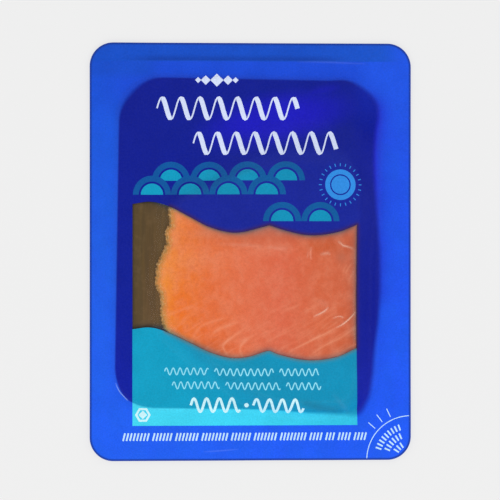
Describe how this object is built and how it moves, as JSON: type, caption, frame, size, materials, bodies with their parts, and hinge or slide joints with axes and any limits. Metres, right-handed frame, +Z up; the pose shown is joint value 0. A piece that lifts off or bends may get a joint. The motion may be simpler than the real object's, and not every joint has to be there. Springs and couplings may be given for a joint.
{
  "type": "vacuum packed smoked steelhead trout",
  "caption": "Flat sealed pouch of blue printed film with a clear window over a slice of smoked fish on a brown card; it lies flat with the printed side up.",
  "frame": {"origin": "centre of the pouch's outline on the surface it lies on", "axes": "+Z up out of the printed side, +Y along the pouch's length towards the heading end, +X to the right as the print is seen"},
  "size_m": [0.127, 0.165, 0.0083],
  "materials": {
    "printed_film": "glossy translucent blue print",
    "clear_film": "clear gloss film",
    "card": "satin gold brown",
    "fish": "moist orange flesh"
  },
  "bodies": {
    "root": {"pouch": "printed_film"}
  },
  "joints": []
}
